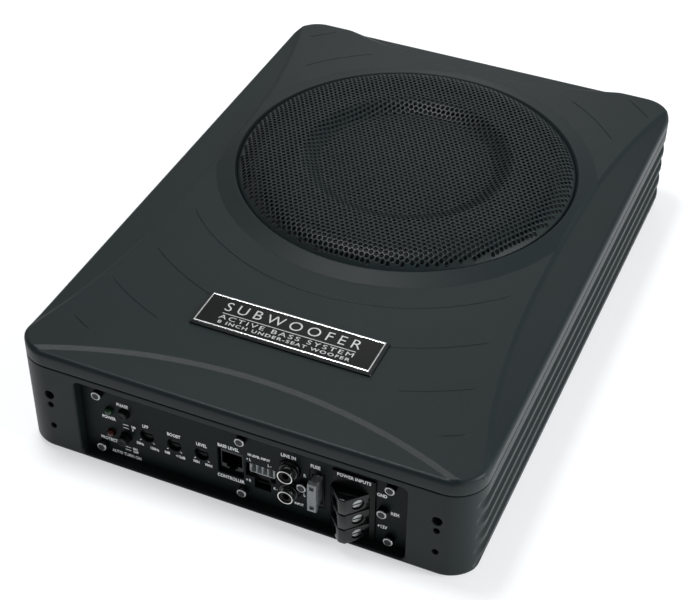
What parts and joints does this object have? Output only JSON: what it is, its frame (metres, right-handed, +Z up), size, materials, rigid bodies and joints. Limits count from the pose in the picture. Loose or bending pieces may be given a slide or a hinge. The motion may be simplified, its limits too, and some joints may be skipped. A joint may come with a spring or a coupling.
{
  "type": "powered car subwoofer",
  "caption": "Low under-seat powered car subwoofer: ribbed cast enclosure, bowed star-shaped cover, domed round grille over an upward-facing woofer, recessed amplifier panel at the front.",
  "frame": {"origin": "centre of the bounding box at the underside of the feet", "axes": "+X across the width, to the right as the control panel is faced; +Y along the length, from the control panel to the rear; +Z up, out of the grille"},
  "size_m": [0.25, 0.3564, 0.076],
  "materials": {
    "cast_shell": "charcoal powder coat, fine satin texture",
    "seal_rubber": "matt black",
    "foot_rubber": "matt black",
    "steel_fastener": "zinc plated",
    "black_fastener": "black oxide",
    "grille_paint": "satin charcoal over perforated steel",
    "bright_trim": "brushed",
    "plate_black": "gloss black with a thin silver border",
    "panel_paint": "satin charcoal",
    "green_lens": "translucent green",
    "red_lens": "translucent red",
    "black_plastic": "moulded black",
    "ivory_plastic": "moulded ivory",
    "clear_plastic": "milky, translucent",
    "smoke_plastic": "smoky, translucent",
    "contact_brass": "plated",
    "bright_nickel": "polished nickel",
    "board_green": "glass-fibre laminate",
    "ferrite": "sintered, matt",
    "copper_wire": "enamelled copper",
    "can_sleeve": "printed sleeve",
    "wire_red": "PVC covering",
    "basket_paint": "satin black",
    "cloth_amber": "resin-treated cloth",
    "surround_rubber": "satin black",
    "cone_paper": "pressed paper, black",
    "plated_steel": "zinc plated"
  },
  "bodies": {
    "enclosure": {"lower_housing": "cast_shell", "top_cover": "cast_shell", "cover_gasket": "seal_rubber", "cover_screws": "steel_fastener", "feet": "foot_rubber", "grille": "grille_paint", "nameplate_frame": "bright_trim", "nameplate_insert": "plate_black", "control_panel": "panel_paint", "panel_screws": "black_fastener", "power_led": "green_lens", "protect_led": "red_lens", "phase_switch": "black_plastic", "mode_switch": "black_plastic", "crossover_pot": "black_plastic", "boost_pot": "black_plastic", "level_pot": "black_plastic", "remote_jack": "black_plastic", "remote_contacts": "contact_brass", "speaker_socket": "clear_plastic", "socket_pins": "bright_nickel", "rca_block": "black_plastic", "rca_sleeves": "bright_nickel", "rca_centres": "clear_plastic", "fuse_holder": "black_plastic", "fuse_clips": "contact_brass", "terminal_block": "black_plastic", "amp_board": "board_green", "inner_screws": "steel_fastener", "power_transistors": "black_plastic", "clamp_bars": "plated_steel", "transformer_core": "ferrite", "transformer_winding": "copper_wire", "filter_capacitors": "can_sleeve", "speaker_leads": "wire_red", "woofer_basket": "basket_paint", "woofer_screws": "steel_fastener", "magnet_ring": "ferrite", "top_plate": "plated_steel", "pole_yoke": "plated_steel", "spider": "cloth_amber", "surround": "surround_rubber", "woofer_terminals": "contact_brass", "tinsel_leads": "copper_wire"},
    "phase_key": {"phase_button": "black_plastic"},
    "mode_key": {"mode_button": "black_plastic"},
    "crossover_control": {"crossover_shaft": "ivory_plastic"},
    "boost_control": {"boost_shaft": "ivory_plastic"},
    "level_control": {"level_shaft": "ivory_plastic"},
    "fuse": {"fuse_body": "smoke_plastic", "fuse_blades": "bright_nickel"},
    "clamp_screw_1": {"terminal_screw_1": "plated_steel"},
    "clamp_screw_2": {"terminal_screw_2": "plated_steel"},
    "clamp_screw_3": {"terminal_screw_3": "plated_steel"},
    "clamp_cage_1": {"terminal_cage_1": "contact_brass"},
    "clamp_cage_2": {"terminal_cage_2": "contact_brass"},
    "clamp_cage_3": {"terminal_cage_3": "contact_brass"},
    "cone_assembly": {"cone": "cone_paper", "dust_cap": "cone_paper", "voice_coil": "copper_wire"}
  },
  "joints": [
    {"name": "phase_press", "type": "slide", "parent": "enclosure", "child": "phase_key", "axis": [0, 1, 0], "range_m": [-0.0024, 0.0006]},
    {"name": "mode_press", "type": "slide", "parent": "enclosure", "child": "mode_key", "axis": [0, 1, 0], "range_m": [0, 0.0026], "stiffness_N_per_m": 600},
    {"name": "crossover_turn", "type": "hinge", "parent": "enclosure", "child": "crossover_control", "pos_m": [-0.0536, -0.16375, 0.0245], "axis": [0, 1, 0], "range_deg": [-150, 150]},
    {"name": "boost_turn", "type": "hinge", "parent": "enclosure", "child": "boost_control", "pos_m": [-0.038, -0.16375, 0.0245], "axis": [0, 1, 0], "range_deg": [-150, 150]},
    {"name": "level_turn", "type": "hinge", "parent": "enclosure", "child": "level_control", "pos_m": [-0.0224, -0.16375, 0.0245], "axis": [0, 1, 0], "range_deg": [-150, 150]},
    {"name": "fuse_pull", "type": "slide", "parent": "enclosure", "child": "fuse", "axis": [0, -1, 0], "range_m": [0, 0.022]},
    {"name": "terminal_screw_1_turn", "type": "hinge", "parent": "enclosure", "child": "clamp_screw_1", "pos_m": [0.0598, -0.16795, 0.0313], "axis": [-0.7254, 0.6884, 0], "range_deg": [0, 615]},
    {"name": "terminal_cage_1_rise", "type": "slide", "parent": "enclosure", "child": "clamp_cage_1", "axis": [0.7254, -0.6884, 0], "range_m": [0, 0.0012]},
    {"name": "terminal_screw_2_turn", "type": "hinge", "parent": "enclosure", "child": "clamp_screw_2", "pos_m": [0.0598, -0.16795, 0.021], "axis": [-0.7254, 0.6884, 0], "range_deg": [0, 615]},
    {"name": "terminal_cage_2_rise", "type": "slide", "parent": "enclosure", "child": "clamp_cage_2", "axis": [0.7254, -0.6884, 0], "range_m": [0, 0.0012]},
    {"name": "terminal_screw_3_turn", "type": "hinge", "parent": "enclosure", "child": "clamp_screw_3", "pos_m": [0.0598, -0.16795, 0.0107], "axis": [-0.7254, 0.6884, 0], "range_deg": [0, 615]},
    {"name": "terminal_cage_3_rise", "type": "slide", "parent": "enclosure", "child": "clamp_cage_3", "axis": [0.7254, -0.6884, 0], "range_m": [0, 0.0012]},
    {"name": "cone_travel", "type": "slide", "parent": "enclosure", "child": "cone_assembly", "axis": [0, 0, 1], "range_m": [-0.006, 0.006], "stiffness_N_per_m": 2000, "deforming": ["surround", "spider", "tinsel_leads"]}
  ],
  "couplings": [
    {"joint": "terminal_screw_1_turn", "follows": "terminal_cage_1_rise", "rad_per_m": 8944},
    {"joint": "terminal_screw_2_turn", "follows": "terminal_cage_2_rise", "rad_per_m": 8944},
    {"joint": "terminal_screw_3_turn", "follows": "terminal_cage_3_rise", "rad_per_m": 8944}
  ]
}
